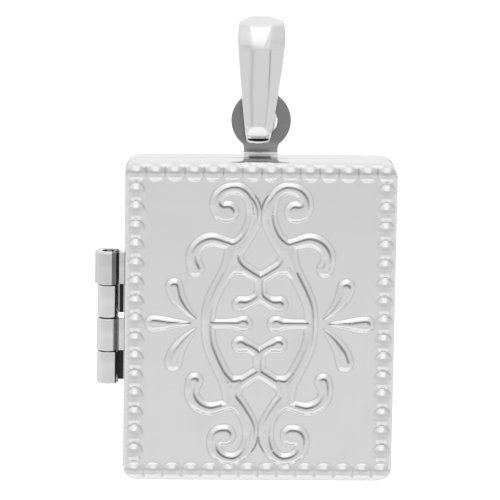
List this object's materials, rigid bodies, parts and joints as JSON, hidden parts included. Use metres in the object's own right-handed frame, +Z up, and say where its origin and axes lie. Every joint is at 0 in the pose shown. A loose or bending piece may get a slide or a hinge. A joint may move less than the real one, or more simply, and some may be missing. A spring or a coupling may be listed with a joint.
{
  "type": "photo locket pendant",
  "caption": "Rectangular silver photo locket with a beaded border and raised scrollwork, side hinge, ring tab and tapered bail.",
  "frame": {"origin": "the chain's seat on the inside of the bail's top, on the pendant's centre line, in the middle plane of the ring tab", "axes": "+Z up along the hanging pendant, +X to the viewer's right, -Y out of the decorated front"},
  "size_m": [0.0233, 0.0062, 0.0361],
  "materials": {
    "bail_silver": "polished silver",
    "case_silver": "polished silver, greyer than the cover",
    "pin_silver": "drawn silver wire",
    "cover_silver": "pressed and polished silver"
  },
  "bodies": {
    "bail": {"bail": "bail_silver"},
    "case": {"back_case": "case_silver", "hinge_pin": "pin_silver"},
    "cover": {"front_cover": "cover_silver"}
  },
  "joints": [
    {"name": "pendant_swing", "type": "hinge", "parent": "bail", "child": "case", "pos_m": [0, 0, -0.00786], "axis": [0, 1, 0], "range_deg": [-75, 75]},
    {"name": "cover_hinge", "type": "hinge", "parent": "case", "child": "cover", "pos_m": [-0.01175, -0.00175, -0.0231], "axis": [0, 0, -1], "range_deg": [0, 170]}
  ]
}
